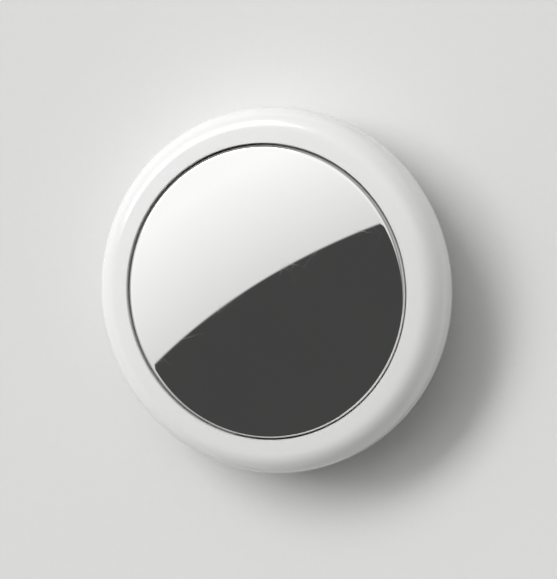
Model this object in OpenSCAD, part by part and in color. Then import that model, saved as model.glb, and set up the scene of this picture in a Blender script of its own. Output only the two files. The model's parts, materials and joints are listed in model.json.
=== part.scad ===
// Round tracker tag, lying on its plastic dome with the steel battery cover up.
// Origin: centre of the flat foot of the dome. +Z: the tag's axis, towards the steel cover.
// Units are millimetres.

/* [Body] */
// Diameter of the tag over its widest band
tag_d = 31.9; // [31.5:0.1:32.3]
// Height of the tag, from the dome's foot to the top of the steel face
tag_h = 8.0; // [8.0:0.1:8.3]
// Spherical radius of the plastic dome
dome_r = 60; // [56:1:64]
// Spherical radius of the steel face and the plastic shoulder round it
face_r = 135; // [120:5:160]
// Rounding between the dome and the widest band
lower_rim_r = 3.2; // [3.0:0.1:3.4]
// Rounding between the widest band and the shoulder
upper_rim_r = 2.0; // [1.8:0.1:2.2]
// Wall thickness of the outer shell
wall = 0.85; // [0.8:0.05:0.9]

/* [Battery cover] */
// Diameter of the steel battery cover
cover_d = 25.5; // [25.3:0.1:25.6]
// Thickness of the steel sheet
cover_t = 0.3; // [0.25:0.05:0.35]
// Radial gap between the steel cover and the shell
cover_gap = 0.15; // [0.1:0.05:0.2]
// Turn from the unlocked position back to the locked one, in degrees
lock_turn = 20; // [20:1:22]
// Angle that each bayonet lug spans
lug_span = 16; // [12:1:16]
// Angle that each retaining lip spans
lip_span = 20; // [16:1:20]

/* [Battery] */
// Diameter of the coin cell
cell_d = 20; // [20:0.1:20.1]
// Thickness of the coin cell
cell_h = 3.2; // [3.1:0.05:3.2]

/* [Electronics] */
// Thickness of the ring-shaped main board
board_t = 0.45; // [0.4:0.05:0.5]
// Diameter of the speaker magnet
magnet_d = 8; // [7.6:0.1:8.1]
// Height of the speaker magnet
magnet_h = 0.8; // [0.7:0.05:0.85]

/* [Hidden] */
$fn = 96;
FINE = 256;      // facets of the very large circles

eps = 0.02;                        // gap left between pieces that only touch
tag_r = tag_d / 2;
cover_r = cover_d / 2;
cell_r = cell_d / 2;

// Outer form
foot_r = 4;                        // flat foot in the middle of the dome
foot_drop = dome_r - sqrt(dome_r * dome_r - foot_r * foot_r);
belt_z = 4.9;                      // a level inside the widest band
dome_centre_z = dome_r - foot_drop;
face_centre_z = tag_h - face_r;
inner_dome_r = dome_r - wall;
mouth_r = cover_r + cover_gap;     // opening of the shell that the cover fills
rib_count = 9;
rib_start = 20;                    // angle of the first rib
rib_span = 4;
rib_top_z = 5.7;

// Battery tray
floor_z = 2.75;                    // underside of the tray's floor, on the board
floor_t = 0.4;
bay_r = cell_r + 0.2;
bay_wall_r = bay_r + 0.6;
bay_top_z = 6.1;
channel_z = 4.95;                  // floor of the channel that the bayonet ring turns in
channel_t = 0.45;
tray_r = 12.8;
tray_wall_r = 12.3;                // inside of the tray's outer wall
tray_top_z = 6.35;
clip_angles = [10, 130, 250];
lug_angles = [90, 210, 330];       // lugs, with the cover unlocked
lip_r = 11.95;
stop_span = 4;
stop_gap = 0.6;                    // degrees between a lug and its stops
clip_span = 12;
clip_z = 5.9;
clip_reach = 0.45;                 // how far a clip stands out under the shell's mouth
rest_r = 4;                        // inner end of the bars that the cell rests on
rest_l = 4;
rest_w = 1;
positive_angles = [150, 30];       // left and right positive contacts
negative_angle = -90;
side_slot_r = 9.7;                 // slots in the bay's wall, from here out through the wall
side_slot_w = 2.6;
leaf_slot_r = [2.6, 9.9];          // slot in the floor, from the first radius to the second
leaf_slot_w = 3.4;
stake_angles = [0, 110, 245];
stake_at = 9.7;
stake_r = 0.45;
stake_hole_r = 0.55;
stake_head_r = 0.75;
stake_head_t = 0.16;

// Battery
cell_z = 3.35;
cell_top_z = cell_z + cell_h;
can_z = cell_z + 0.2;
can_t = 0.25;
can_top_f = 0.55;                  // outer fillets of the can
can_crimp_f = 0.4;
cap_r = 8.85;
cap_h = 2.2;
crimp_r = 9.25;
anode_z = cell_z + can_t + eps;
anode_t = 0.6;
separator_z = anode_z + anode_t + eps;
separator_t = 0.1;
cathode_z = separator_z + separator_t + eps;
plus_l = 3.2;                      // engraved plus: length, width and depth of its bars
plus_w = 0.5;
plus_d = 0.05;

// Cover
skirt_z = 6.5;                     // lower edge of the steel cover
cover_edge_r = 0.4;
bond_t = 0.08;                     // adhesive between the steel and the bayonet ring
ring_in_r = 11.0;
ring_out_r = 11.85;
ring_z = 5.0;
flange_z = 6.5;
lug_z = 5.15;
lug_h = 0.6;
lug_r = 12.15;
lip_z = 5.8;
lip_h = 0.5;
nib_span = 14;
nib_z = 6.62;
nib_h = 0.2;
nib_r = 10.55;
pad_in_r = 5.5;
pad_out_r = 9.3;
pad_carrier_z = 6.88;
pad_carrier_t = 0.17;

// Electronics, hanging under the board
board_z = floor_z - board_t;       // underside of the board
board_in_r = 6.3;
board_out_r = 10.7;
carrier_in_r = 10.9;
carrier_out_r = 12.75;
glue_t = 0.15;                     // gap that the adhesive fills between carrier and dome
glue_r = [12.35, 12.73];
carrier_face_r = inner_dome_r - glue_t;
trace_t = 0.06;
pad_t = 0.03;                      // copper pads on the board

// Speaker
yoke_r = 6.0;
yoke_t = 0.4;
yoke_rim_z = 1.35;
yoke_top_z = floor_z;
magnet_top_z = yoke_top_z - yoke_t;
magnet_z = magnet_top_z - magnet_h;
pole_t = 0.35;
pole_r = magnet_d / 2 + 0.15;
former_r = 4.35;
former_lip = 0.2;                  // how far the former stands above its winding
coil_in_r = 4.5;
coil_out_r = 5.25;
coil_z = 0.97;
coil_h = 0.95;
lead_r = 0.06;
lead_angles = [345, 15];

// Contacts
leaf_t = 0.15;
leaf_foot_z = floor_z + 0.05;
positive_w = 2.2;
positive_top_z = 5.6;
positive_ridge_z = 4.9;
positive_ridge_r = 0.5;
positive_x = cell_r + 0.27;        // inner face of the upright leaf
positive_foot_l = 0.4;
negative_w = 2.8;
negative_foot_r = 9.5;
negative_heel_r = 8.9;
negative_tip_r = 3.2;
negative_rise = 0.25;              // of the tip over the foot
negative_bump_r = 0.4;
fork_gap = 0.8;
fork_root_r = 7.5;

// ---------------------------------------------------------------- shared shapes

// Half of a rounded disc's section: a dome of radius dome over a disc of radius r and height h,
// with its edge rounded by f. All arcs are tangent.
module half_lens_2d(r, dome, h, f) {
    rim_y = h - dome + sqrt(pow(dome - f, 2) - pow(r - f, 2));
    tangent_x = (r - f) * dome / (dome - f);
    intersection() {
        translate([0, h - dome]) circle(r = dome, $fn = FINE);
        square([tangent_x, h]);
    }
    intersection() {
        translate([r - f, rim_y]) circle(r = f);
        square([r, h]);
    }
    square([r, rim_y]);
}

// Section of the whole tag, moved inwards by inset
module tag_2d(inset) {
    translate([0, belt_z])
        half_lens_2d(tag_r - inset, face_r - inset, tag_h - belt_z - inset, upper_rim_r - inset);
    translate([0, belt_z]) mirror([0, 1])
        half_lens_2d(tag_r - inset, dome_r - inset, belt_z + foot_drop - inset, lower_rim_r - inset);
}

// Rectangular section from radius r0 to r1 and height z0 to z1
module band_2d(r0, r1, z0, z1) {
    translate([r0, z0]) square([r1 - r0, z1 - z0]);
}

// Solid ring of rectangular section
module band(r0, r1, z0, z1) {
    rotate_extrude() band_2d(r0, r1, z0, z1);
}

// Part of such a ring, centred on angle mid
module sector(mid, span, r0, r1, z0, z1) {
    rotate([0, 0, mid - span / 2]) rotate_extrude(angle = span) band_2d(r0, r1, z0, z1);
}

// Section of a disc with both edges rounded
module puck_2d(r, h, top_f, bottom_f) {
    translate([0, bottom_f]) square([r, h - top_f - bottom_f]);
    translate([0, h / 2]) square([r - top_f, h / 2]);
    square([r - bottom_f, h / 2]);
    translate([r - top_f, h - top_f]) circle(r = top_f);
    translate([r - bottom_f, bottom_f]) circle(r = bottom_f);
}

// Section between two spheres that share the dome's centre, from radius r0 to r1
module dome_layer_2d(r0, r1, outer, thickness) {
    intersection() {
        translate([r0, 0]) square([r1 - r0, belt_z]);
        translate([0, dome_centre_z]) difference() {
            circle(r = outer, $fn = FINE);
            circle(r = outer - thickness, $fn = FINE);
        }
    }
}

module dome_layer(mid, span, r0, r1, outer, thickness) {
    rotate([0, 0, mid - span / 2])
        rotate_extrude(angle = span) dome_layer_2d(r0, r1, outer, thickness);
}

// Block on the underside of the board: sx along the radius, sy across it
module under_board(angle, at, sx, sy, h) {
    rotate([0, 0, angle]) translate([at - sx / 2, -sy / 2, board_z - h]) cube([sx, sy, h]);
}

// Round wire from a to b
module wire(a, b, r) {
    d = b - a;
    translate(a) rotate([0, acos(d[2] / norm(d)), atan2(d[1], d[0])])
        cylinder(r = r, h = norm(d), $fn = 16);
}

// ---------------------------------------------------------------- housing

module outer_shell() {
    color("white") {
        difference() {
            rotate_extrude() intersection() {
                tag_2d(0);
                square([tag_r + 1, tag_h + 1]);
            }
            rotate_extrude() tag_2d(wall);
            translate([0, 0, belt_z]) cylinder(r = mouth_r, h = tag_h);
        }
        for (i = [0 : rib_count - 1]) shell_rib(rib_start + i * 360 / rib_count);
    }
}

// Rib inside the shell's rim, which centres the tray
module shell_rib(angle) {
    rotate([0, 0, angle - rib_span / 2]) rotate_extrude(angle = rib_span) intersection() {
        tag_2d(wall - eps);
        band_2d(tray_r + 0.1, tag_r, 0, rib_top_z);
    }
}

module battery_tray() {
    color("gainsboro") {
        difference() {
            union() {
                rotate_extrude() tray_2d();
                for (a = lug_angles) tray_lock(a);
                for (a = clip_angles)
                    sector(a, clip_span, tray_r - 0.1, tray_r + clip_reach, clip_z, tray_top_z);
                for (a = lug_angles) floor_rest(a);
            }
            for (a = positive_angles) rotate([0, 0, a])
                slot_cut(side_slot_r, bay_wall_r + 0.05, side_slot_w, floor_z, bay_top_z);
            rotate([0, 0, negative_angle])
                slot_cut(leaf_slot_r[0], leaf_slot_r[1], leaf_slot_w, floor_z, floor_z + floor_t);
        }
        for (a = stake_angles) rotate([0, 0, a]) translate([stake_at, 0, 0]) heat_stake();
    }
}

module tray_2d() {
    band_2d(0, bay_wall_r, floor_z, floor_z + floor_t);
    band_2d(bay_r, bay_wall_r, floor_z, bay_top_z);
    band_2d(bay_r, tray_r, channel_z - channel_t, channel_z);
    band_2d(tray_wall_r, tray_r, floor_z, tray_top_z);
}

// Cutter for a slot along the radius, from r0 to r1, through everything from z0 to z1
module slot_cut(r0, r1, w, z0, z1) {
    translate([r0, -w / 2, z0 - 1]) cube([r1 - r0, w, z1 - z0 + 2]);
}

// Retaining lip over a locked lug, with a stop at each end of the lug's travel
module tray_lock(lug_angle) {
    locked = lug_angle - lock_turn;
    reach = lug_span / 2 + stop_gap + stop_span / 2;
    sector(locked, lip_span, lip_r, tray_wall_r + 0.1, lip_z, lip_z + lip_h);
    sector(locked - reach, stop_span, lip_r, tray_wall_r + 0.1, channel_z - 0.1, lip_z + lip_h);
    sector(lug_angle + reach, stop_span, lip_r, tray_wall_r + 0.1, channel_z - 0.1, lip_z);
}

// Low bar on the bay's floor that the cell rests on
module floor_rest(angle) {
    base_z = floor_z + floor_t - 0.1;
    rotate([0, 0, angle]) translate([rest_r, -rest_w / 2, base_z])
        cube([rest_l, rest_w, cell_z - eps - base_z]);
}

// Post through the board, with its melted head under the board
module heat_stake() {
    head_z = board_z - eps - stake_head_t;
    translate([0, 0, head_z]) cylinder(r = stake_r, h = floor_z + 0.1 - head_z);
    translate([0, 0, head_z]) cylinder(r = stake_head_r, h = stake_head_t);
}

module antenna_carrier() {
    color("whitesmoke") rotate_extrude() intersection() {
        band_2d(carrier_in_r, carrier_out_r, 0, floor_z);
        translate([0, dome_centre_z]) circle(r = carrier_face_r, $fn = FINE);
    }
}

// The antennas are metal traces plated on the carrier's underside
module bluetooth_antenna() {
    color("goldenrod") {
        antenna_arc(62, 70, 12.05, 12.3);
        antenna_arc(62, 66, 11.55, 11.8);
        for (i = [0 : 8]) antenna_arc(31 + i * 7.6, 2.2, 11.78, 12.07);
        antenna_arc(96, 2.2, 11.05, 12.3);
    }
}

module ultrawideband_antenna() {
    color("goldenrod") {
        antenna_arc(185, 34, 11.3, 12.25);
        antenna_arc(208, 14, 11.55, 11.75);
        antenna_arc(221, 16, 11.3, 12.25);
    }
}

module nfc_antenna_coil() {
    color("goldenrod") {
        for (r = [11.15, 11.55, 11.95]) antenna_arc(300, 84, r, r + 0.2);
        for (end = [259, 341]) antenna_arc(end, 2, 11.15, 12.15);
    }
}

module antenna_arc(mid, span, r0, r1) {
    dome_layer(mid, span, r0, r1, carrier_face_r + trace_t, trace_t);
}

module carrier_adhesive_ring() {
    color("dimgray") rotate_extrude()
        dome_layer_2d(glue_r[0], glue_r[1], inner_dome_r - eps, glue_t - eps);
}

// ---------------------------------------------------------------- board

module main_board() {
    color("darkgreen") difference() {
        band(board_in_r, board_out_r, board_z, floor_z);
        for (a = stake_angles) rotate([0, 0, a]) translate([stake_at, 0, 0])
            cylinder(r = stake_hole_r, h = 2 * floor_z);
    }
}

module bluetooth_chip() {
    color("black") under_board(60, 8.2, 3.2, 3.2, 0.55);
}

module ultrawideband_module() {
    color("silver") under_board(205, 8.3, 3.0, 4.2, 0.6);
}

module flash_memory_chip() {
    color("black") under_board(92, 8.4, 1.6, 2.2, 0.5);
}

module audio_amplifier_chip() {
    color("black") under_board(152, 8.3, 1.5, 1.5, 0.45);
}

module power_converter_chip() {
    color("black") under_board(124, 8.0, 1.4, 1.4, 0.45);
}

module motion_sensor() {
    color("dimgray") under_board(300, 8.3, 2.0, 2.0, 0.6);
}

module crystals() {
    color("silver") {
        under_board(25, 8.3, 1.2, 2.0, 0.45);
        under_board(236, 8.0, 1.0, 1.6, 0.45);
    }
}

module capacitors() {
    sites = concat(
        [for (a = [45 : 5 : 75]) [a, 10.3]],
        [for (a = [190 : 5 : 220]) [a, 10.35]],
        [for (a = [256 : 8 : 280], at = [7.4, 8.6]) [a, at]]
    );
    color("tan") for (s = sites) under_board(s[0], s[1], 0.3, 0.6, 0.3);
}

module resistors() {
    color("darkslategray") for (a = [322 : 8 : 338], at = [7.3, 8.3, 9.3])
        under_board(a, at, 0.3, 0.6, 0.25);
}

module inductors() {
    color("gray") {
        under_board(138, 9.3, 1.0, 1.8, 0.6);
        under_board(173, 8.6, 1.2, 1.8, 0.6);
    }
}

module test_pads() {
    color("gold") for (a = [262 : 10 : 282]) rotate([0, 0, a])
        translate([9.8, 0, board_z - pad_t]) cylinder(r = 0.4, h = pad_t);
}

// Pads on the board's upper side that the battery contacts are soldered to
module contact_pads() {
    color("gold") {
        for (a = positive_angles) rotate([0, 0, a])
            translate([9.85, -1.15, floor_z]) cube([0.75, 2.3, pad_t]);
        rotate([0, 0, negative_angle])
            translate([8.75, -1.5, floor_z]) cube([0.95, 3, pad_t]);
    }
}

// ---------------------------------------------------------------- speaker

module speaker_yoke() {
    color("silver") rotate_extrude() {
        band_2d(0, yoke_r, yoke_top_z - yoke_t, yoke_top_z - eps / 2);
        band_2d(yoke_r - yoke_t, yoke_r, yoke_rim_z, yoke_top_z - eps / 2);
    }
}

module speaker_magnet() {
    color("lightgray") translate([0, 0, magnet_z]) cylinder(d = magnet_d, h = magnet_h);
}

module speaker_pole_plate() {
    color("silver") translate([0, 0, magnet_z - pole_t])
        cylinder(r = pole_r, h = pole_t);
}

module voice_coil() {
    color("peru") rotate_extrude()
        translate([coil_in_r + eps, coil_z]) square([coil_out_r - coil_in_r - eps, coil_h]);
}

module coil_former() {
    color("darkgoldenrod") band(former_r, coil_in_r, coil_z, coil_z + coil_h + former_lip);
}

// Two wires from the foot of the coil, under the yoke's rim and up to the board
module voice_coil_leads() {
    color("peru") for (a = lead_angles) rotate([0, 0, a]) {
        foot = [coil_out_r + lead_r + eps, 0, 1.16];
        knee = [6.85, 0, 1.24];
        top = [7.1, 0, board_z];
        wire(foot, knee, lead_r);
        translate(knee) sphere(r = 1.5 * lead_r, $fn = 16);
        wire(knee, top, lead_r);
    }
}

// ---------------------------------------------------------------- battery contacts

// Forked leaf that rises from its foot to a rounded tip under the cell
module negative_contact() {
    heel_z = leaf_foot_z + leaf_t;
    tip_z = leaf_foot_z + negative_rise;
    side = [
        [negative_foot_r, leaf_foot_z], [negative_foot_r, heel_z],
        [negative_heel_r, heel_z], [negative_tip_r, tip_z + leaf_t],
        [negative_tip_r, tip_z], [negative_heel_r, leaf_foot_z]
    ];
    color("gold") rotate([0, 0, negative_angle]) difference() {
        standing_strip(negative_w) {
            polygon(side);
            intersection() {
                translate([negative_tip_r + negative_bump_r + 0.05, cell_z - eps - negative_bump_r])
                    circle(r = negative_bump_r, $fn = 32);
                translate([negative_tip_r, tip_z]) square([1, 1]);
            }
        }
        translate([0, -fork_gap / 2, 0]) cube([fork_root_r, fork_gap, cell_z]);
    }
}

// Upright leaf in a slot of the bay's wall, with a rounded ridge against the cell's side
module positive_contact() {
    out_x = positive_x + leaf_t;
    foot_x = positive_x - positive_foot_l;
    foot_top_z = leaf_foot_z + leaf_t;
    side = [
        [foot_x, leaf_foot_z], [out_x, leaf_foot_z],
        [out_x, positive_top_z], [out_x + 0.16, positive_top_z + 0.35],
        [positive_x + 0.16, positive_top_z + 0.4], [positive_x, positive_top_z],
        [positive_x, foot_top_z], [foot_x, foot_top_z]
    ];
    color("gold") standing_strip(positive_w) {
        polygon(side);
        intersection() {
            translate([cell_r + 0.03 + positive_ridge_r, positive_ridge_z])
                circle(r = positive_ridge_r, $fn = 48);
            translate([cell_r, positive_ridge_z - 1]) square([0.27 + leaf_t / 2, 2]);
        }
    }
}

// Sheet-metal strip of width w, from its side view drawn in radius and height
module standing_strip(w) {
    translate([0, w / 2, 0]) rotate([90, 0, 0]) linear_extrude(w) children();
}

module positive_contact_left() {
    rotate([0, 0, positive_angles[0]]) positive_contact();
}

module positive_contact_right() {
    rotate([0, 0, positive_angles[1]]) positive_contact();
}

// ---------------------------------------------------------------- battery

// Positive can, open below, with an engraved plus on top
module battery_can() {
    can_h = cell_top_z - can_z;
    color("silver") difference() {
        translate([0, 0, can_z]) rotate_extrude() puck_2d(cell_r, can_h, can_top_f, can_crimp_f);
        translate([0, 0, can_z + can_t]) rotate_extrude()
            puck_2d(cell_r - can_t, can_h - 2 * can_t, can_top_f - can_t, can_crimp_f - can_t);
        translate([0, 0, can_z - 1]) cylinder(r = crimp_r, h = 1 + 2 * can_t);
        for (a = [0, 90]) rotate([0, 0, a])
            translate([0, 0, cell_top_z]) cube([plus_l, plus_w, 2 * plus_d], center = true);
    }
}

// Negative cap, which is the underside of the cell
module battery_cap() {
    color("lightgray") difference() {
        translate([0, 0, cell_z]) rotate_extrude() puck_2d(cap_r, cap_h, 0.1, 0.2);
        translate([0, 0, cell_z + can_t]) cylinder(r = cap_r - can_t, h = cap_h);
    }
}

// Insulating ring between the can and the cap
module battery_gasket() {
    color("darkslateblue") rotate_extrude() {
        band_2d(cap_r + eps, crimp_r - eps, cell_z + 0.12, cell_z + cap_h + 0.3);
        band_2d(cap_r - can_t, crimp_r - eps, cell_z + cap_h + eps, cell_z + cap_h + 0.3);
    }
}

module battery_anode() {
    color("lightsteelblue") translate([0, 0, anode_z]) cylinder(r = cap_r - 0.5, h = anode_t);
}

module battery_separator() {
    color("ivory") translate([0, 0, separator_z]) cylinder(r = cap_r - 0.4, h = separator_t);
}

module battery_cathode() {
    color("dimgray") translate([0, 0, cathode_z])
        cylinder(r = cap_r - 0.45, h = cell_top_z - can_t - eps - cathode_z);
}

// ---------------------------------------------------------------- cover

// Slip disc that stays still with the cell while the cover turns
module pad_carrier() {
    color("gainsboro") translate([0, 0, pad_carrier_z])
        cylinder(r = ring_in_r - 0.15, h = pad_carrier_t);
}

// Foam ring that presses the cell onto its contacts
module pressure_pad() {
    color("darkgray") band(pad_in_r, pad_out_r, cell_top_z + eps, pad_carrier_z);
}

module steel_cover() {
    cover_h = tag_h - skirt_z;
    color("silver") translate([0, 0, skirt_z]) rotate_extrude() difference() {
        half_lens_2d(cover_r, face_r, cover_h, cover_edge_r);
        half_lens_2d(cover_r - cover_t, face_r - cover_t, cover_h - cover_t, cover_edge_r - cover_t);
    }
}

// Plastic ring bonded into the cover, with its lugs and the nibs that hold the slip disc
module bayonet_ring() {
    color("gainsboro") {
        rotate_extrude() intersection() {
            union() {
                band_2d(ring_in_r, ring_out_r, ring_z, tag_h);
                band_2d(ring_in_r, cover_r - cover_t - 0.05, flange_z, tag_h);
            }
            translate([0, face_centre_z])
                circle(r = face_r - cover_t - bond_t, $fn = FINE);
        }
        for (a = lug_angles) {
            sector(a, lug_span, ring_out_r - 0.1, lug_r, lug_z, lug_z + lug_h);
            sector(a + 60, nib_span, nib_r, ring_in_r + 0.1, nib_z, nib_z + nib_h);
        }
    }
}

module cover_adhesive_ring() {
    color("dimgray") rotate_extrude() intersection() {
        band_2d(ring_in_r + 0.15, cover_r - cover_t - 0.15, flange_z, tag_h);
        translate([0, face_centre_z]) difference() {
            circle(r = face_r - cover_t, $fn = FINE);
            circle(r = face_r - cover_t - bond_t, $fn = FINE);
        }
    }
}

// ---------------------------------------------------------------- nodes

outer_shell();
battery_tray();
antenna_carrier();
bluetooth_antenna();
ultrawideband_antenna();
nfc_antenna_coil();
carrier_adhesive_ring();
main_board();
bluetooth_chip();
ultrawideband_module();
flash_memory_chip();
audio_amplifier_chip();
power_converter_chip();
motion_sensor();
crystals();
capacitors();
resistors();
inductors();
test_pads();
contact_pads();
speaker_yoke();
speaker_magnet();
speaker_pole_plate();
voice_coil();
coil_former();
voice_coil_leads();
negative_contact();
positive_contact_left();
positive_contact_right();
battery_can();
battery_cap();
battery_gasket();
battery_cathode();
battery_separator();
battery_anode();
pad_carrier();
pressure_pad();
steel_cover();
bayonet_ring();
cover_adhesive_ring();
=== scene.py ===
"""Looks of the round tracker tag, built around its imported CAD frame.

The tag lies on its plastic dome with the polished steel battery cover up. Lengths in this file are
millimetres in the frame's own axes, and MM turns them into Blender's metres.
"""

import json
import math

import bmesh
import bpy
from mathutils import Matrix, Vector, noise


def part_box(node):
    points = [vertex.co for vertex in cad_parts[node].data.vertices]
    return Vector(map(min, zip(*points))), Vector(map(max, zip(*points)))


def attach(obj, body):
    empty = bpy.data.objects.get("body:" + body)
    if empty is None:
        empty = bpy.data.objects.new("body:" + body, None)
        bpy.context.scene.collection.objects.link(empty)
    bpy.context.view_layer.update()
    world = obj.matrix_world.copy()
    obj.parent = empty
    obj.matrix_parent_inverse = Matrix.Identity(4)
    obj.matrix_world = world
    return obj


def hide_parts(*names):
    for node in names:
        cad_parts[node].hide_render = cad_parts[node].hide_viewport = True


MM = 0.001
WELD = 0.002          # points of a CAD mesh that are closer than this are one point
SHARP = 40.0          # an edge that turns by more than this many degrees gets rounded
FLAT = 0.5            # faces that turn by less than this many degrees are one face

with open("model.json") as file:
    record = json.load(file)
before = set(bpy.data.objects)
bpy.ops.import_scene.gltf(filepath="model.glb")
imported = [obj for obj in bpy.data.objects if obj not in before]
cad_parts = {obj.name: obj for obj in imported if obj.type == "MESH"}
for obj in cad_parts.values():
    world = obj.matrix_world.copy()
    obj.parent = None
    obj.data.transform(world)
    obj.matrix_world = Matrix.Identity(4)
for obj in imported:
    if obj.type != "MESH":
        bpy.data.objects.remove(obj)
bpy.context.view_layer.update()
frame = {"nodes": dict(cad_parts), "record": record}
slots = {part["node"]: part["material_slot"] for part in frame["record"]["subparts"]}


def limits(node):
    """Lowest and highest corner of a CAD node, in millimetres."""
    low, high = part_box(node)
    return low / MM, high / MM


def inner_radius(node):
    """Distance from the Z axis to the nearest point of a CAD node, in millimetres."""
    return min(v.co.xy.length for v in frame["nodes"][node].data.vertices) / MM


def blocks(node):
    """The separate blocks of a CAD node.

    Each is the angle in radians that it is turned about the Z axis, and its lowest and highest corner before
    that turn, with X pointing out from the axis.
    """
    bm = bmesh.new()
    bm.from_mesh(frame["nodes"][node].data)
    bmesh.ops.remove_doubles(bm, verts=bm.verts, dist=WELD * MM)
    found, seen = [], set()
    for first in bm.verts:
        if first in seen:
            continue
        seen.add(first)
        reached = [first]
        for vert in reached:
            others = [edge.other_vert(vert) for edge in vert.link_edges]
            fresh = [other for other in others if other not in seen]
            seen.update(fresh)
            reached.extend(fresh)
        corners = [vert.co / MM for vert in reached]
        xs, ys, _ = zip(*corners)
        angle = math.atan2(min(ys) + max(ys), min(xs) + max(xs))
        square = [Matrix.Rotation(-angle, 3, "Z") @ corner for corner in corners]
        found.append((angle, Vector(map(min, zip(*square))), Vector(map(max, zip(*square)))))
    bm.free()
    return found


# ------------------------------------------------------------------ sizes

COVER_LOW, COVER_HIGH = limits("steel_cover")
TAG_R = limits("outer_shell")[1].x
TAG_H = COVER_HIGH.z
COVER_R = COVER_HIGH.x
SKIRT_Z = COVER_LOW.z

# The outer form, as the CAD source has it
DOME_R = 60.0
FACE_R = 135.0
LOWER_RIM_R = 3.2
UPPER_RIM_R = 2.0
WALL = 0.85
BELT_Z = 4.9
FOOT_R = 4.0
FOOT_DROP = DOME_R - math.sqrt(DOME_R**2 - FOOT_R**2)
MOUTH_R = COVER_R + 0.15
STEEL_T = 0.3
COVER_EDGE_R = 0.4

# Stiffening ribs inside the shell's wall
RIBS = 9
RIB_START = 20.0      # angle of the first, in degrees
RIB_SPAN = 4.0
RIB_R = 12.9
RIB_TOP = 5.7
RIB_ROOT = 0.6        # share of the wall's thickness, from outside, where their roots lie

TURN_STEPS = 288      # facets round the axis of the pieces that show most
FINE_EDGE = 0.05      # rounding of the finest edges
SINK = 0.02           # how deep one solid of a piece sinks into its neighbour

# Tray: the edges as far out as its channel are rounded, and the bay's floor has faint ejector pin marks
MOULDED_EDGE = 0.06
CHANNEL_R = 11.5      # middle of the channel that the bayonet ring turns in
BAY_FLOOR = 3.15      # upper face of the battery bay's floor
EJECTOR_R = 0.55
EJECTOR_CORNER = 0.98  # rounding of a mark's corners, as a share of its radius, which makes it look round
EJECTOR_H = 0.02
EJECTOR_MARKS = ((7.9, (60, 120, 183, 357)), (2.6, (30, 150)))  # each circle's radius and its marks' angles

# Gate mark under the slip disc: a pip in a ring
PIP_R = 0.18
PIP_H = 0.05
GATE_RING_R = 1.3
GATE_RING_W = 0.16
GATE_RING_H = 0.04
GATE_SLOPE = 0.04     # how far the ring's sides lean out
GATE_EDGE = 0.03

# Foam ring
FOAM_EDGE = 0.42      # rounding of its edges, as a share of its thickness
FOAM_STEP = 0.15      # spacing of its section's points
FOAM_LUMP = 0.7       # size of the lumps in its surface
FOAM_DENT = 0.03      # how far the surface sinks between them
FOAM_CELL = 0.2

COIL_WIRE = 0.1

# Chips: the corner mark is placed and sized by shares of the chip's shorter side and of its own inset
CHIPS = (
    "bluetooth_chip", "flash_memory_chip", "audio_amplifier_chip", "power_converter_chip", "motion_sensor",
)
CHIP_EDGE = 0.035
MARK_INSET = 0.18
MARK_SIZE = 0.45
MARK_DEPTH = 0.025

# Solder lands round a chip's foot
LAND_PITCH = 0.4
LAND_WIDTH = 0.2
LAND_HEIGHT = 0.12
LAND_PROUD = 0.012
LAND_EDGE = 0.006

# Radio module's can on its frame
CAN_STEP = 0.07       # how far the can is drawn in from the frame, which is also its edge's rounding
CAN_FOOT = 0.16       # height of the frame
FRAME_CORNER_R = 0.2
CAN_CORNER_R = 0.28

# Crystals
LID_STEP = 0.1        # how far the lid is in from the base
LID_EDGE = 0.04
LID_CORNER_R = 0.16
BASE_CORNER_R = 0.08

# Capacitors, resistors and inductors
CAP_SHARE = 0.24      # of the part's length
CAP_PROUD = 0.008
CAP_EDGE = 0.025


# ------------------------------------------------------------------ sections and solids


def span(start, end, count):
    """count + 1 evenly spaced values from start to end."""
    return [start + (end - start) * i / count for i in range(count + 1)]


def half_lens(radius, dome, height, fillet, dome_steps=40, fillet_steps=20, from_r=0.0):
    """Section of a domed disc from its pole, or from radius from_r, out to its rounded rim."""
    edge_r = radius - fillet
    edge_z = height - dome + math.sqrt((dome - fillet) ** 2 - edge_r**2)
    tangent = math.asin(edge_r / (dome - fillet))
    first = math.asin(from_r / dome)
    face = [
        (dome * math.sin(a), height - dome + dome * math.cos(a))
        for a in span(first, tangent, dome_steps)
    ]
    rim = [
        (edge_r + fillet * math.sin(a), edge_z + fillet * math.cos(a))
        for a in span(tangent, math.pi / 2, fillet_steps)
    ]
    return face + rim[1:]


def rounded(corners, steps=4):
    """An outline with each (r, z, fillet) corner rounded. A plain (r, z) point stays as it is."""
    outline = []
    for i, corner in enumerate(corners):
        here = Vector(corner[:2])
        if len(corner) < 3:
            outline.append(tuple(here))
            continue
        back = (Vector(corners[i - 1][:2]) - here).normalized()
        ahead = (Vector(corners[(i + 1) % len(corners)][:2]) - here).normalized()
        half = back.angle(ahead) / 2
        centre = here + (back + ahead).normalized() * corner[2] / math.sin(half)
        first = here + back * corner[2] / math.tan(half) - centre
        last = here + ahead * corner[2] / math.tan(half) - centre
        turn = math.atan2(first.x * last.y - first.y * last.x, first.dot(last))
        for share in span(0, 1, steps):
            outline.append(tuple(centre + Matrix.Rotation(turn * share, 2) @ first))
    return outline


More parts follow.
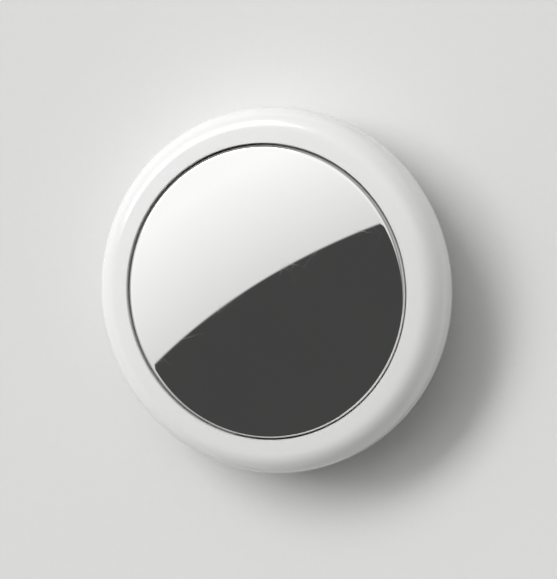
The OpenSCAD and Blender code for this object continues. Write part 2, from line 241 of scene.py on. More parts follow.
def add_turned(bm, outline, steps=TURN_STEPS, start=0.0, turn=360.0, closed=True):
    """Adds a section (r, z) turned about the Z axis. A part turn gets end caps."""
    whole = turn >= 360
    open_ends = not closed or (outline[0][0] < 1e-9 and outline[-1][0] < 1e-9)
    angles = [math.radians(start + turn * i / steps) for i in range(steps if whole else steps + 1)]
    rings = []
    for r, z in outline:
        if r < 1e-9:
            rings.append([bm.verts.new((0, 0, z * MM))] * len(angles))
        else:
            rings.append([bm.verts.new((r * math.cos(a) * MM, r * math.sin(a) * MM, z * MM)) for a in angles])
    pairs = list(zip(rings, rings[1:]))
    if not open_ends:
        pairs.append((rings[-1], rings[0]))
    faces = []
    for low, high in pairs:
        for i in range(steps):
            j = (i + 1) % len(angles)
            corners = list(dict.fromkeys([low[i], low[j], high[j], high[i]]))
            if len(corners) > 2:
                faces.append(bm.faces.new(corners))
    if not whole:
        for end in (0, -1):
            corners = list(dict.fromkeys(ring[end] for ring in rings))
            faces.append(bm.faces.new(corners))
    bmesh.ops.recalc_face_normals(bm, faces=faces)


def add_block(bm, low, high, turn=0.0, rounding=0.02, corner_r=0.0, corner_steps=4, dot=None):
    """Adds a box with rounded edges, from corner low to corner high and then turned about the Z axis.

    corner_r rounds its upright edges. dot is the (x, y, radius, depth) of a round recess in its lower face.
    """
    block = bmesh.new()
    bmesh.ops.create_cube(block, size=1.0)
    size, middle = high - low, (high + low) / 2
    for vert in block.verts:
        vert.co = Vector([(vert.co[i] * size[i] + middle[i]) * MM for i in range(3)])
    if corner_r:
        upright = [edge for edge in block.edges if edge.verts[0].co.z != edge.verts[1].co.z]
        bmesh.ops.bevel(
            block, geom=upright, offset=corner_r * MM, segments=corner_steps, profile=0.5, affect="EDGES"
        )
    if rounding:
        sharp = [edge for edge in block.edges if edge.calc_face_angle() > math.radians(SHARP)]
        bmesh.ops.bevel(block, geom=sharp, offset=rounding * MM, segments=2, profile=0.5, affect="EDGES")
    if dot:
        add_dot(block, *dot)
    block.transform(Matrix.Rotation(turn, 4, "Z"))
    mesh = bpy.data.meshes.new("block")
    block.to_mesh(mesh)
    block.free()
    bm.from_mesh(mesh)
    bpy.data.meshes.remove(mesh)


def add_dot(block, x, y, radius, depth, steps=20):
    """Sinks a small round recess into the block's lower face."""
    face = min(block.faces, key=lambda f: (round(f.calc_center_median().z / MM, 3), -f.calc_area()))
    edges, z = list(face.edges), face.verts[0].co.z
    bmesh.ops.delete(block, geom=[face], context="FACES_ONLY")
    rings = []
    for r, rise in ((radius, 0.0), (radius * 0.85, depth)):
        ring = [(x + r * math.cos(a), y + r * math.sin(a)) for a in span(0, 2 * math.pi, steps)[:-1]]
        rings.append([block.verts.new((u * MM, v * MM, z + rise * MM)) for u, v in ring])
    edges += [block.edges.new((rings[0][i - 1], rings[0][i])) for i in range(steps)]
    bmesh.ops.triangle_fill(block, edges=edges, use_beauty=True)
    for i in range(steps):
        block.faces.new((rings[0][i - 1], rings[0][i], rings[1][i], rings[1][i - 1]))
    block.faces.new(rings[1])
    bmesh.ops.recalc_face_normals(block, faces=block.faces)


def winding(r_in, r_out, z_low, z_high, wire, steps=5):
    """Section of a coil: a rectangle whose four sides are rows of round wires."""
    half = wire / 2
    near, far, low, high = r_in + half, r_out - half, z_low + half, z_high - half
    corners = [Vector(corner) for corner in ((far, low), (far, high), (near, high), (near, low))]
    outline = []
    for side in range(4):
        start, end = corners[side], corners[(side + 1) % 4]
        count = round((end - start).length / wire)
        first = (side - 1) * math.pi / 2
        for k in range(1, count + 1):
            centre = start.lerp(end, k / count)
            arc, points = (math.pi, steps) if k < count else (1.5 * math.pi, steps * 3 // 2)
            for a in span(first, first + arc, points)[:-1]:
                outline.append((centre.x + half * math.cos(a), centre.y + half * math.sin(a)))
    return outline


def finished(name, bm, body, material, stands_for=(), sharp=35.0):
    """Makes bm a smooth-shaded piece that rides on a body and stands for CAD nodes."""
    mesh = bpy.data.meshes.new(name)
    bm.to_mesh(mesh)
    bm.free()
    if mesh.has_custom_normals:
        mesh.attributes.remove(mesh.attributes["custom_normal"])
    mesh.shade_smooth()
    mesh.set_sharp_from_angle(angle=math.radians(sharp))
    mesh.materials.append(material)
    piece = bpy.data.objects.new(name, mesh)
    bpy.context.scene.collection.objects.link(piece)
    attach(piece, body)
    if stands_for:
        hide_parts(*stands_for)
    return piece


# ------------------------------------------------------------------ materials


class Finish:
    """A Principled material, with short calls for the nodes that feed it. Texture lengths are millimetres."""

    def __init__(self, name, colour, roughness, metallic=0.0, **sockets):
        self.material = bpy.data.materials.new(name)
        self.material.use_nodes = True
        self.tree = self.material.node_tree
        self.shader = self.tree.nodes["Principled BSDF"]
        self.set("Base Color", (*colour, 1))
        self.set("Roughness", roughness)
        self.set("Metallic", metallic)
        for socket, value in sockets.items():
            self.set(socket.replace("_", " "), value)

    def set(self, socket, value):
        self.shader.inputs[socket].default_value = value

    def feed(self, socket, output):
        self.tree.links.new(output, self.shader.inputs[socket])

    def node(self, kind, inputs=None, **settings):
        made = self.tree.nodes.new("ShaderNode" + kind)
        for key, value in settings.items():
            setattr(made, key, value)
        for key, value in (inputs or {}).items():
            if isinstance(value, bpy.types.NodeSocket):
                self.tree.links.new(value, made.inputs[key])
            else:
                made.inputs[key].default_value = value
        return made

    def place(self, stretch=(1, 1, 1), turn=0.0):
        """Object coordinates in millimetres, turned about Z and divided by stretch."""
        coordinates = self.node("TexCoord").outputs["Object"]
        turned = self.node("Mapping", {"Vector": coordinates, "Rotation": (0, 0, math.radians(turn))})
        scale = [1 / (MM * s) for s in stretch]
        return self.node("Mapping", {"Vector": turned.outputs[0], "Scale": scale}).outputs[0]

    def noise(self, size, detail=3.0, stretch=(1, 1, 1)):
        """Noise from 0 to 1 whose features are about size millimetres."""
        inputs = {"Vector": self.place(stretch), "Scale": 1 / size, "Detail": detail, "Roughness": 0.5}
        return self.node("TexNoise", inputs).outputs[0]

    def polar(self, radius):
        """Distance round the Z axis, measured at a radius, and distance from the axis, in millimetres."""
        x, y, _ = self.node("SeparateXYZ", {0: self.place()}).outputs
        arc = self.math("MULTIPLY", self.math("ARCTAN2", y, x), radius)
        squares = self.math("ADD", self.math("MULTIPLY", x, x), self.math("MULTIPLY", y, y))
        return arc, self.math("SQRT", squares)

    def remap(self, value, low, high, to_low=0.0, to_high=1.0):
        inputs = {"Value": value, "From Min": low, "From Max": high, "To Min": to_low, "To Max": to_high}
        return self.node("MapRange", inputs).outputs[0]

    def math(self, operation, a, b=0.0):
        return self.node("Math", {0: a, 1: b}, operation=operation).outputs[0]

    def blend(self, share, colour_a, colour_b):
        made = self.node("Mix", {"Factor": share}, data_type="RGBA")
        for index, colour in ((6, colour_a), (7, colour_b)):
            if isinstance(colour, bpy.types.NodeSocket):
                self.tree.links.new(colour, made.inputs[index])
            else:
                made.inputs[index].default_value = (*colour, 1)
        return made.outputs[2]

    def bump(self, height, distance, after=None):
        """Adds relief: height 1 stands distance millimetres proud. after is an earlier bump's output."""
        inputs = {"Height": height, "Distance": distance * MM, "Strength": 1.0}
        if after is not None:
            inputs["Normal"] = after
        made = self.node("Bump", inputs).outputs[0]
        self.feed("Normal", made)
        return made


STROKE_SHIFT = 40.0   # most that a row of strokes is shifted against the others, in lengths
HAIRLINE_W = 0.022
HAIRLINE_SHARE = 0.003
HAIRLINES = ((8, 3.2), (37, 2.1), (71, 4.4), (102, 2.6), (133, 3.7), (164, 5.2))  # angle and length
HAIRLINE_HAZE = 0.065  # roughness that a hairline adds


def strokes(finish, along, across, pitch, length, share, fill=1.0):
    """Broken parallel lines: 1 on a line and 0 off it, and the distance along each, in lengths.

    share is how much of their rows is drawn, and fill how much of the pitch a line is wide.
    """
    scaled = finish.math("DIVIDE", across, pitch)
    row = finish.math("FLOOR", scaled)
    shift = finish.node("TexWhiteNoise", {"W": row}, noise_dimensions="1D").outputs[0]
    shift = finish.math("MULTIPLY", shift, STROKE_SHIFT)
    along = finish.math("ADD", finish.math("DIVIDE", along, length), shift)
    cell = finish.node("CombineXYZ", {0: finish.math("FLOOR", along), 1: row}).outputs[0]
    chance = finish.node("TexWhiteNoise", {"Vector": cell}, noise_dimensions="2D").outputs[0]
    drawn = finish.math("LESS_THAN", chance, share)
    return finish.math("MULTIPLY", drawn, finish.math("LESS_THAN", finish.math("FRACT", scaled), fill)), along


def hairlines(finish, turn, length):
    """Straight fine scratches along one direction, which thin out towards their ends."""
    place = finish.node("SeparateXYZ", {0: finish.place(turn=turn)}).outputs
    drawn, along = strokes(finish, place[0], place[1], HAIRLINE_W, length, HAIRLINE_SHARE)
    return finish.math("MULTIPLY", drawn, finish.math("MULTIPLY", finish.math("PINGPONG", along, 0.5), 2.0))


def polished_steel():
    """Mirror-polished stainless steel, with a faint haze, a few hairlines and the slightest waviness."""
    steel = Finish("polished_steel", (0.82, 0.815, 0.805), 0.03, metallic=1.0)
    haze = steel.remap(steel.noise(5.0, detail=4.0), 0.35, 0.75, 0.01, 0.024)
    worn = 0.0
    for turn, length in HAIRLINES:
        worn = steel.math("MAXIMUM", worn, hairlines(steel, turn, length))
    steel.feed("Roughness", steel.math("ADD", haze, steel.math("MULTIPLY", worn, HAIRLINE_HAZE)))
    cloud = steel.noise(9.0, detail=2.0)
    steel.feed("Base Color", steel.blend(cloud, (0.80, 0.80, 0.795), (0.84, 0.835, 0.825)))
    steel.bump(steel.noise(11.0, detail=0.0), 0.003)
    return steel.material


def white_plastic():
    """Glossy white polycarbonate with a little depth to it."""
    plastic = Finish(
        "white_plastic", (0.85, 0.85, 0.84), 0.16, IOR=1.57, Subsurface_Weight=0.25,
        Subsurface_Radius=(1.0, 0.9, 0.8), Subsurface_Scale=0.6 * MM,
    )
    plastic.feed("Roughness", plastic.remap(plastic.noise(3.0, detail=5.0), 0.3, 0.75, 0.12, 0.2))
    plastic.feed("Base Color", plastic.blend(plastic.noise(12.0), (0.84, 0.845, 0.84), (0.86, 0.855, 0.845)))
    wave = plastic.bump(plastic.noise(4.0, detail=1.0), 0.004)
    plastic.bump(plastic.noise(0.12, detail=2.0), 0.0004, after=wave)
    return plastic.material


def moulded_plastic(name, colour, roughness=0.42):
    """Satin moulded plastic with a fine spark-eroded texture."""
    plastic = Finish(name, colour, roughness, IOR=1.52)
    cloud = plastic.noise(2.5, detail=4.0)
    darker = tuple(c * 0.93 for c in colour)
    plastic.feed("Base Color", plastic.blend(cloud, darker, colour))
    plastic.feed("Roughness", plastic.remap(cloud, 0.3, 0.7, roughness - 0.07, roughness + 0.07))
    plastic.bump(plastic.noise(0.16), 0.006)
    return plastic.material


def plated(name, colour, roughness=0.22, brushing=(1, 1, 1), grain=0.25, relief=0.0006):
    """Plated or drawn metal with faint marks along one direction."""
    metal = Finish(name, colour, roughness, metallic=1.0)
    marks = metal.noise(grain, detail=4.0, stretch=brushing)
    cloud = metal.noise(2.0, detail=3.0)
    metal.feed("Base Color", metal.blend(cloud, tuple(c * 0.9 for c in colour), colour))
    metal.feed("Roughness", metal.remap(marks, 0.3, 0.7, roughness * 0.75, roughness * 1.25))
    metal.bump(marks, relief)
    return metal.material


BOARD_R = 8.5         # middle of the ring-shaped board
TRACK_PITCH = 0.2


def solder_mask():
    """Green mask over the board's copper: the tracks and covered vias under it stand proud and look paler."""
    mask = Finish("circuit_board", (0.01, 0.085, 0.045), 0.34)
    arc, out = mask.polar(BOARD_R)
    tracks, _ = strokes(mask, arc, out, TRACK_PITCH, length=2.6, share=0.5, fill=0.5)
    spurs, _ = strokes(mask, out, arc, TRACK_PITCH, length=0.9, share=0.16, fill=0.5)
    tracks = mask.math("MAXIMUM", tracks, spurs)
    cloud = mask.noise(1.5, detail=5.0)
    bare = mask.blend(cloud, (0.006, 0.060, 0.032), (0.009, 0.078, 0.042))
    over_copper = mask.blend(cloud, (0.016, 0.115, 0.056), (0.022, 0.135, 0.066))
    mask.feed("Base Color", mask.blend(tracks, bare, over_copper))
    mask.feed("Roughness", mask.remap(cloud, 0.3, 0.7, 0.26, 0.42))
    relief = mask.bump(tracks, 0.006)
    mask.bump(mask.noise(0.12), 0.001, after=relief)
    return mask.material


def plain(name, colour, roughness, grain=0.2, relief=0.004):
    """Matt material with clouded colour and a fine grain, for powders, films and mouldings."""
    matt = Finish(name, colour, roughness)
    cloud = matt.noise(1.5, detail=5.0)
    matt.feed("Base Color", matt.blend(cloud, tuple(c * 0.85 for c in colour), colour))
    matt.feed("Roughness", matt.remap(cloud, 0.3, 0.7, roughness - 0.08, roughness + 0.06))
    matt.bump(matt.noise(grain, detail=4.0), relief)
    return matt.material


def open_foam():
    """Dark foam, cut through its cells: sunken pores between paler walls, with painted shade darkening the
    pores.
    """
    foam = Finish("foam", (0.09, 0.09, 0.095), 0.85)
    cells = {"Vector": foam.place(), "Scale": 1 / FOAM_CELL}
    depth = foam.node("TexVoronoi", cells, feature="DISTANCE_TO_EDGE").outputs[0]
    pore_depth_and_shade = foam.remap(depth, 0.03, 0.3, 0.0, 1.0)
    # painted shade: the colour darkens towards each cell's middle, as shade falling into the pores; the same
    # mask sinks them by bump
    foam.feed("Base Color", foam.blend(pore_depth_and_shade, (0.15, 0.15, 0.155), (0.035, 0.035, 0.04)))
    foam.bump(pore_depth_and_shade, -0.05)
    return foam.material


def slot_materials():
    """One material for each of the record's slots, and the tin of the solder."""
    return {
        "white_plastic": white_plastic(),
        "polished_steel": polished_steel(),
        "inner_plastic": moulded_plastic("inner_plastic", (0.78, 0.78, 0.76)),
        "carrier_plastic": moulded_plastic("carrier_plastic", (0.62, 0.61, 0.58), 0.5),
        "antenna_plating": plated("antenna_plating", (0.86, 0.60, 0.36), 0.3),
        "adhesive": plain("adhesive", (0.05, 0.05, 0.055), 0.6),
        "circuit_board": solder_mask(),
        "chip_epoxy": plain("chip_epoxy", (0.02, 0.02, 0.022), 0.5, grain=0.08),
        "shield_can": plated("shield_can", (0.62, 0.61, 0.58), 0.3, (12, 1, 1)),
        "sensor_package": plain("sensor_package", (0.05, 0.05, 0.055), 0.45, grain=0.08),
        "capacitor_ceramic": plain("capacitor_ceramic", (0.42, 0.27, 0.15), 0.45),
        "resistor_ceramic": plain("resistor_ceramic", (0.03, 0.03, 0.035), 0.35),
        "ferrite": plain("ferrite", (0.09, 0.09, 0.095), 0.5),
        "gold_plating": plated("gold_plating", (0.95, 0.66, 0.28), 0.2, (1, 1, 8)),
        "speaker_steel": plated("speaker_steel", (0.55, 0.55, 0.55), 0.28),
        "magnet_nickel": plated("magnet_nickel", (0.66, 0.65, 0.62), 0.15),
        "copper_wire": plated("copper_wire", (0.80, 0.36, 0.17), 0.25),
        "former_film": plain("former_film", (0.55, 0.24, 0.04), 0.3),
        "cell_steel": plated("cell_steel", (0.68, 0.675, 0.66), 0.3, (40, 1, 1), grain=0.05, relief=0.0001),
        "gasket_plastic": plain("gasket_plastic", (0.06, 0.07, 0.11), 0.4),
        "cathode_powder": plain("cathode_powder", (0.035, 0.035, 0.04), 0.85, grain=0.14, relief=0.08),
        "separator_felt": plain("separator_felt", (0.82, 0.80, 0.73), 0.8, grain=0.08, relief=0.02),
        "lithium": plain("lithium", (0.50, 0.51, 0.54), 0.4),
        "foam": open_foam(),
        "tinned": plated("tinned", (0.72, 0.71, 0.69), 0.3),
    }


# ------------------------------------------------------------------ pieces


def outer_shell_piece(materials):
    """The white moulding: dome, rounded rim, shoulder and the inside of its wall, with its ribs."""

    def lens(inset, top):
        height = TAG_H - BELT_Z if top else BELT_Z + FOOT_DROP
        dome, rim = (FACE_R, UPPER_RIM_R) if top else (DOME_R, LOWER_RIM_R)
        first = MOUTH_R if top else 0.0
        points = half_lens(TAG_R - inset, dome - inset, height - inset, rim - inset, from_r=first)
        return [(r, BELT_Z + z if top else BELT_Z - z) for r, z in points]

    under = [(0.0, 0.0), (FOOT_R / 2, 0.0)]
    under += [(r, max(z, 0.0)) for r, z in lens(0, False) if r >= FOOT_R]
    over = lens(0, True)[::-1]
    inside = lens(WALL, True)
    floor = lens(WALL, False)[::-1]
    over[-1] = (*over[-1], FINE_EDGE)
    inside[0] = (*inside[0], FINE_EDGE)
    bm = bmesh.new()
    add_turned(bm, rounded(under + over + inside + floor))
    wall = [(r, z) for r, z in lens(WALL * RIB_ROOT, False) if r > RIB_R and z < RIB_TOP]
    rib = [(RIB_R, wall[0][1])] + wall + [(wall[-1][0], RIB_TOP), (RIB_R, RIB_TOP)]
    for i in range(RIBS):
        start = RIB_START + i * 360 / RIBS - RIB_SPAN / 2
        add_turned(bm, rib, steps=4, start=start, turn=RIB_SPAN)
    slot = slots["outer_shell"]
    finished("white_shell", bm, "housing", materials[slot], ["outer_shell"])


def steel_cover_piece(materials):
    """The pressed steel disc with its rounded edge and short skirt."""
    height = TAG_H - SKIRT_Z
    outside = [(r, SKIRT_Z + z) for r, z in half_lens(COVER_R, FACE_R, height, COVER_EDGE_R, dome_steps=64)]
    inner_r, inner_dome = COVER_R - STEEL_T, FACE_R - STEEL_T
    inside = [
        (r, SKIRT_Z + z)
        for r, z in half_lens(inner_r, inner_dome, height - STEEL_T, COVER_EDGE_R - STEEL_T, fillet_steps=6)
    ]
    outside.append((COVER_R, SKIRT_Z, FINE_EDGE))
    inside.append((inner_r, SKIRT_Z, FINE_EDGE))
    bm = bmesh.new()
    add_turned(bm, rounded(outside + inside[::-1]))
    slot = slots["steel_cover"]
    finished("polished_cover", bm, "cover", materials[slot], ["steel_cover"])


def tray_piece(materials):
    """The inner moulding, with its edges rounded as far out as the channel, and its ejector pin marks."""
    bm = bmesh.new()
    bm.from_mesh(frame["nodes"]["battery_tray"].data)
    bmesh.ops.remove_doubles(bm, verts=bm.verts, dist=WELD * MM)

    def inner_edges():
        return [edge for edge in bm.edges if all(v.co.xy.length < CHANNEL_R * MM for v in edge.verts)]

    inner_verts = [vert for vert in bm.verts if vert.co.xy.length < CHANNEL_R * MM]
    bmesh.ops.dissolve_limit(bm, angle_limit=math.radians(FLAT), verts=inner_verts, edges=inner_edges())
    bmesh.ops.bevel(
        bm, geom=[edge for edge in inner_edges() if edge.calc_face_angle() > math.radians(SHARP)],
        offset=MOULDED_EDGE * MM, segments=3, profile=0.5, affect="EDGES", clamp_overlap=False,
    )
    for r, angles in EJECTOR_MARKS:
        for angle in angles:
            low = Vector((r - EJECTOR_R, -EJECTOR_R, BAY_FLOOR - EJECTOR_H))
            high = Vector((r + EJECTOR_R, EJECTOR_R, BAY_FLOOR + EJECTOR_H))
            corner_r = EJECTOR_R * EJECTOR_CORNER
            add_block(bm, low, high, math.radians(angle), EJECTOR_H / 2, corner_r, corner_steps=10)
    slot = slots["battery_tray"]
    finished("moulded_tray", bm, "housing", materials[slot], ["battery_tray"])


def gate_mark_piece(materials):
    """What the mould's gate leaves in the middle of the slip disc's underside: a pip in a raised ring."""
    root_z = limits("pad_carrier")[0].z + SINK
    pip_z = root_z - SINK - PIP_H
    ring_z = root_z - SINK - GATE_RING_H
    side = GATE_RING_W / 2
    ring = [
        (GATE_RING_R - side - GATE_SLOPE, root_z), (GATE_RING_R + side + GATE_SLOPE, root_z),
        (GATE_RING_R + side, ring_z, GATE_EDGE), (GATE_RING_R - side, ring_z, GATE_EDGE),
    ]
    bm = bmesh.new()
    add_turned(bm, [(0.0, root_z), (0.0, pip_z), (PIP_R, ring_z), (PIP_R + 2 * GATE_SLOPE, root_z)], steps=48)
    add_turned(bm, rounded(ring), steps=96)
    slot = slots["pad_carrier"]
    finished("carrier_gate_mark", bm, "cover_pad", materials[slot])


def foam_pad_piece(materials):
    """The die-cut foam ring: pillowed edges and an uneven, slightly slumped surface."""
    low, high = limits("pressure_pad")
    r_in, r_out = inner_radius("pressure_pad"), high.x
    edge = (high.z - low.z) * FOAM_EDGE
    corners = [(r_in, low.z, edge), (r_out, low.z, edge), (r_out, high.z, edge), (r_in, high.z, edge)]
    outline = rounded(corners, steps=6)
    fine = []
    for start, end in zip(outline, outline[1:] + outline[:1]):
        start, end = Vector(start), Vector(end)
        pieces = max(1, round((end - start).length / FOAM_STEP))
        fine += [tuple(start.lerp(end, i / pieces)) for i in range(pieces)]
    bm = bmesh.new()
    add_turned(bm, fine)
    core = Vector(((r_in + r_out) / 2, (low.z + high.z) / 2))
    for vert in bm.verts:
        middle = Vector((*(vert.co.xy.normalized() * core.x), core.y)) * MM
        dent = 0.5 + 0.5 * noise.noise(vert.co / (FOAM_LUMP * MM))
        vert.co += (middle - vert.co).normalized() * dent * FOAM_DENT * MM
    slot = slots["pressure_pad"]
    piece = finished("foam_pad", bm, "cover_pad", materials[slot], ["pressure_pad"], sharp=180.0)


def voice_coil_piece(materials):
    """The copper winding, turn by turn."""
    low, high = limits("voice_coil")
    bm = bmesh.new()
    add_turned(bm, winding(inner_radius("voice_coil"), high.x, low.z, high.z, COIL_WIRE), steps=144)
    slot = slots["voice_coil"]
    finished("wound_voice_coil", bm, "housing", materials[slot], ["voice_coil"], sharp=50.0)


def chip_pieces(materials):
    """Moulded packages, each with a round mark in one corner, and the solder lands round their feet."""
    lands = bmesh.new()
    for node in CHIPS:
        turn, low, high = blocks(node)[0]
        inset = min(high.x - low.x, high.y - low.y) * MARK_INSET
        body = bmesh.new()
        mark = (low.x + inset, low.y + inset, inset * MARK_SIZE, MARK_DEPTH)
        add_block(body, low, high, turn, rounding=CHIP_EDGE, dot=mark)
        slot = slots[node]
        finished(f"{node}_package", body, "housing", materials[slot], [node])
        for across, other in ((0, 1), (1, 0)):
            length = high[across] - low[across]
            count = round((length - LAND_PITCH) / LAND_PITCH)
            for k in range(count + 1):
                place = low[across] + length / 2 + (k - count / 2) * LAND_PITCH
                for side in (low[other], high[other]):
                    near, far = Vector(high), Vector(high)
                    near[across], far[across] = place - LAND_WIDTH / 2, place + LAND_WIDTH / 2
                    near[other], far[other] = side - LAND_PROUD, side + LAND_PROUD
                    near.z = high.z - LAND_HEIGHT
                    add_block(lands, near, far, turn, rounding=LAND_EDGE)
    finished("chip_solder_lands", lands, "housing", materials["tinned"])


def shielded_module_piece(materials):
    """The radio module's drawn metal can, on the frame that it clips over."""
    turn, low, high = blocks("ultrawideband_module")[0]
    step = Vector((CAN_STEP, CAN_STEP, 0))
    bm = bmesh.new()
    foot_z = high.z - CAN_FOOT
    can_top = Vector((*(high - step).xy, foot_z + SINK))
    add_block(bm, Vector((*low.xy, foot_z)), high, turn, corner_r=FRAME_CORNER_R)
    add_block(bm, low + step, can_top, turn, rounding=CAN_STEP, corner_r=CAN_CORNER_R)
    slot = slots["ultrawideband_module"]
    finished("shielded_module", bm, "housing", materials[slot], ["ultrawideband_module"])


def crystal_pieces(materials):
    """Timing crystals: a ceramic tray with a metal lid seamed onto it."""
    bases, lids = bmesh.new(), bmesh.new()
    for turn, low, high in blocks("crystals"):
        seam_z = (high.z + low.z) / 2
        step = Vector((LID_STEP, LID_STEP, 0))
        lid_top = Vector((*(high - step).xy, seam_z + SINK / 2))
        add_block(bases, Vector((*low.xy, seam_z)), high, turn, corner_r=BASE_CORNER_R)
        add_block(lids, low + step, lid_top, turn, rounding=LID_EDGE, corner_r=LID_CORNER_R)
    finished("crystal_lids", lids, "housing", materials["shield_can"], ["crystals"])
    finished("crystal_bases", bases, "housing", materials["sensor_package"])


def passive_pieces(materials):
    """Capacitors, resistors and inductors, with a tinned cap over each end."""
    caps = bmesh.new()
    for node in ("capacitors", "resistors", "inductors"):
        bodies = bmesh.new()
        for turn, low, high in blocks(node):
            along = 0 if high.x - low.x > high.y - low.y else 1
            cap = (high[along] - low[along]) * CAP_SHARE
            proud = Vector((CAP_PROUD, CAP_PROUD, CAP_PROUD))
            proud[along] = 0
            inside = Vector((0, 0, 0))
            inside[along] = cap / 2
            add_block(bodies, low + inside, high - inside, turn)
            for from_low in (True, False):
                near, far = low - proud, high + proud
                far.z = high.z
                if from_low:
                    far[along] = low[along] + cap
                else:
                    near[along] = high[along] - cap
                add_block(caps, near, far, turn, rounding=CAP_EDGE)
        slot = slots[node]
        finished(f"{node[:-1]}_bodies", bodies, "housing", materials[slot], [node])
    finished("tinned_end_caps", caps, "housing", materials["tinned"])


# Rounding of the edges of the CAD nodes that stay in view
EDGE_ROUNDING = {
    "bayonet_ring": 0.07, "pad_carrier": 0.05, "antenna_carrier": 0.04,
    "main_board": 0.03, "speaker_yoke": 0.08, "speaker_magnet": 0.08, "speaker_pole_plate": 0.05,
    "negative_contact": 0.025, "positive_contact_left": 0.025, "positive_contact_right": 0.025,
    "test_pads": 0.008, "contact_pads": 0.008, "bluetooth_antenna": 0.01, "ultrawideband_antenna": 0.01,
    "carrier_adhesive_ring": 0.02, "cover_adhesive_ring": 0.02, "battery_gasket": 0.03,
    "battery_cathode": 0.12, "battery_separator": 0.03, "battery_anode": 0.1,
}


def soften_edges(node, width):
    """Rounds a CAD node's sharp edges with modifiers, which leave its own mesh as it is."""
    weld = node.modifiers.new("weld", "WELD")
    weld.merge_threshold = WELD * MM
    flats = node.modifiers.new("flats", "DECIMATE")
    flats.decimate_type = "DISSOLVE"
    flats.angle_limit = math.radians(FLAT)
    bevel = node.modifiers.new("bevel", "BEVEL")
    bevel.width = width * MM
    bevel.segments = 2
    bevel.limit_method = "ANGLE"
    bevel.angle_limit = math.radians(SHARP)
    bevel.miter_outer = "MITER_ARC"
    bevel.use_clamp_overlap = True
    bevel.harden_normals = True


def finish_cad_nodes(materials):
    """Gives every CAD node that stays in view its material and its rounded edges."""
    for name, node in frame["nodes"].items():
        node.data.materials.clear()
        node.data.materials.append(materials[slots[name]])
        if name in EDGE_ROUNDING:
            soften_edges(node, EDGE_ROUNDING[name])


# ------------------------------------------------------------------ studio

STAGE_R = 450.0       # flat part of the floor
BOWL_R = 3000.0       # curve of the floor beyond it, which rises gently behind the tag
STAGE_END = 1500.0


def seamless_floor():
    """A round pale floor that rises gently all the way round, so that no horizon shows."""
    paper = Finish("stage_paper", (0.78, 0.78, 0.775), 0.75)
    cloud = paper.noise(0.6, detail=5.0)
    paper.feed("Base Color", paper.blend(cloud, (0.77, 0.77, 0.765), (0.79, 0.79, 0.785)))
    paper.bump(paper.noise(0.5, detail=4.0), 0.01)
    section = [(r, 0.0) for r in (0.0, 20.0, 60.0, 150.0, 300.0)]
    section += [
        (r, BOWL_R - math.sqrt(BOWL_R**2 - (r - STAGE_R) ** 2)) for r in span(STAGE_R, STAGE_END, 30)
    ]
    bm = bmesh.new()
    add_turned(bm, section, steps=96, closed=False)
    mesh = bpy.data.meshes.new("stage_floor")
    bm.to_mesh(mesh)
    bm.free()
    mesh.shade_smooth()
    mesh.materials.append(paper.material)
    floor = bpy.data.objects.new("stage_floor", mesh)
    bpy.context.scene.collection.objects.link(floor)


SKY_WHITE = 1.17      # brightness of the studio's white side
SKY_GREY = 0.34       # and of the side away from it
SKY_TILT = 26.0       # the white side's middle, in degrees from straight up
SKY_TURN = 238.0      # and the way that it leans, from -Y towards +X
SKY_NEAR = 0.92       # the sky is at its whitest inside the cone with this cosine round that middle
SKY_FAR = 0.45        # and grey outside this one
SKY_RING = 0.78       # brightness of the low band all round, which lights the backdrop
RING_FULL = 0.12      # sine of the elevation up to which that band is at its full brightness
RING_TOP = 0.42       # and of the one where it has faded out
FLAG_GREY = 0.064     # brightness of the dark round flag that the steel reflects
FLAG_SIZE = 52.0      # the flag's angular radius, in degrees
FLAG_SOFT = 0.08      # half the width of its soft edge
FLAG_TILT = 47.2      # its middle's angle from straight up
FLAG_TURN = 12.8      # and the way that it leans, from -Y towards +X
HALO_SIZE = 60.5      # the sky dims towards the flag from this far out from its middle, in degrees
HALO_GREY = 0.72      # share of the sky's brightness that is left at the flag's edge
CARD_GREY = 0.4       # share that is left where a grey card stands, low on the white side
CARD_SIZE = 54.0      # the card's angular radius, in degrees
CARD_SOFT = 0.4       # half the width of its soft edge
CARD_TILT = 120.0     # its middle's angle from straight up, below the horizon
CARD_TURN = 213.0     # and the way that it leans


def leaning(tilt, turn):
    """Unit vector that leans tilt degrees from straight up, turn degrees round from -Y towards +X."""
    tilt, turn = math.radians(tilt), math.radians(turn)
    return Vector((math.sin(tilt) * math.sin(turn), -math.sin(tilt) * math.cos(turn), math.cos(tilt)))


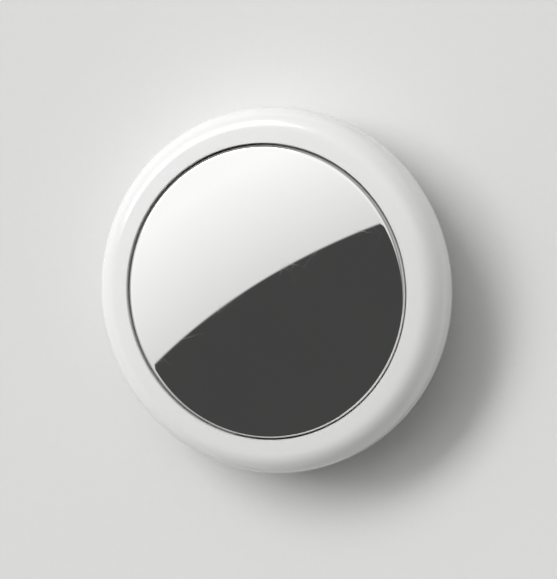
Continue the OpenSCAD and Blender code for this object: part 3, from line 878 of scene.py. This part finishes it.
def studio_world():
    """A white studio with a pale band round the horizon, a round dark flag overhead and a low grey card."""
    world = bpy.data.worlds.new("studio")
    bpy.context.scene.world = world
    world.use_nodes = True
    tree = world.node_tree
    direction = tree.nodes.new("ShaderNodeTexCoord").outputs["Generated"]

    def ramp(axis, low, high, low_value, high_value):
        """Value that runs with the cosine of the angle between the sky's direction and an axis."""
        dot = tree.nodes.new("ShaderNodeVectorMath")
        dot.operation = "DOT_PRODUCT"
        tree.links.new(direction, dot.inputs[0])
        dot.inputs[1].default_value = axis
        mapped = tree.nodes.new("ShaderNodeMapRange")
        tree.links.new(dot.outputs["Value"], mapped.inputs["Value"])
        for socket, value in zip(mapped.inputs[1:5], (low, high, low_value, high_value)):
            socket.default_value = value
        return mapped.outputs[0]

    def combined(operation, a, b):
        """Both values put through one operation."""
        node = tree.nodes.new("ShaderNodeMath")
        node.operation = operation
        tree.links.new(a, node.inputs[0])
        tree.links.new(b, node.inputs[1])
        return node.outputs[0]

    side = ramp(leaning(SKY_TILT, SKY_TURN), SKY_FAR, SKY_NEAR, SKY_GREY, SKY_WHITE)
    ring = ramp(Vector((0, 0, 1)), RING_FULL, RING_TOP, SKY_RING, 0.0)
    sky = combined("MAXIMUM", side, ring)
    card_edge = [math.cos(math.radians(CARD_SIZE + soft)) for soft in (CARD_SOFT, -CARD_SOFT)]
    card = ramp(leaning(CARD_TILT, CARD_TURN), *card_edge, 1.0, CARD_GREY)
    middle = leaning(FLAG_TILT, FLAG_TURN)
    halo_edge, *flag_edge = [
        math.cos(math.radians(size)) for size in (HALO_SIZE, FLAG_SIZE + FLAG_SOFT, FLAG_SIZE - FLAG_SOFT)
    ]
    halo = ramp(middle, halo_edge, flag_edge[0], 1.0, HALO_GREY)
    mix = tree.nodes.new("ShaderNodeMix")
    tree.links.new(ramp(middle, *flag_edge, 0.0, 1.0), mix.inputs[0])
    tree.links.new(combined("MULTIPLY", combined("MULTIPLY", sky, card), halo), mix.inputs[2])
    mix.inputs[3].default_value = FLAG_GREY
    background = tree.nodes["Background"]
    tree.links.new(mix.outputs[0], background.inputs["Strength"])
    background.inputs["Color"].default_value = (1, 1, 1, 1)


def softbox(name, place, width, height, power):
    """Area light that looks at the tag. place is in millimetres and power in watts."""
    light = bpy.data.lights.new(name, "AREA")
    light.shape = "RECTANGLE"
    light.size, light.size_y = width * MM, height * MM
    light.energy = power
    lamp = bpy.data.objects.new(name, light)
    bpy.context.scene.collection.objects.link(lamp)
    lamp.location = Vector(place) * MM
    lamp.rotation_euler = (-Vector(place)).to_track_quat("-Z", "Y").to_euler()


VIEW_YAW = 20.0       # the photograph looks at the face from 20 degrees to its right
VIEW_PITCH = 3.7      # and a little from above
VIEW_DISTANCE = 505.0
LENS = 360.0


def photo_camera():
    """Camera at the photograph's angle to the steel face, with +Y up in the picture."""
    yaw, pitch = math.radians(VIEW_YAW), math.radians(VIEW_PITCH)
    back = Vector((math.sin(yaw) * math.cos(pitch), math.sin(pitch), math.cos(yaw) * math.cos(pitch)))
    right = Vector((0, 1, 0)).cross(back).normalized()
    up = back.cross(right)
    data = bpy.data.cameras.new("photo_camera")
    data.lens = LENS
    data.clip_start, data.clip_end = 0.01, 10
    camera = bpy.data.objects.new("photo_camera", data)
    bpy.context.scene.collection.objects.link(camera)
    target = Vector((0, 0, TAG_H / 2))
    camera.matrix_world = Matrix.Translation((target + back * VIEW_DISTANCE) * MM) @ Matrix(
        (right, up, back)
    ).transposed().to_4x4()
    bpy.context.scene.camera = camera


# ------------------------------------------------------------------ scene

photo_camera()
studio_world()
seamless_floor()
softbox("key_light", (-2750, 2300, 3900), width=4200, height=1700, power=165)
softbox("low_light", (3300, -3300, 1500), width=5600, height=900, power=10)
bpy.context.scene.view_settings.view_transform = "Standard"

looks = slot_materials()
finish_cad_nodes(looks)
for make_piece in (
    outer_shell_piece, steel_cover_piece, tray_piece, gate_mark_piece, foam_pad_piece, voice_coil_piece,
    chip_pieces, shielded_module_piece, crystal_pieces, passive_pieces,
):
    make_piece(looks)
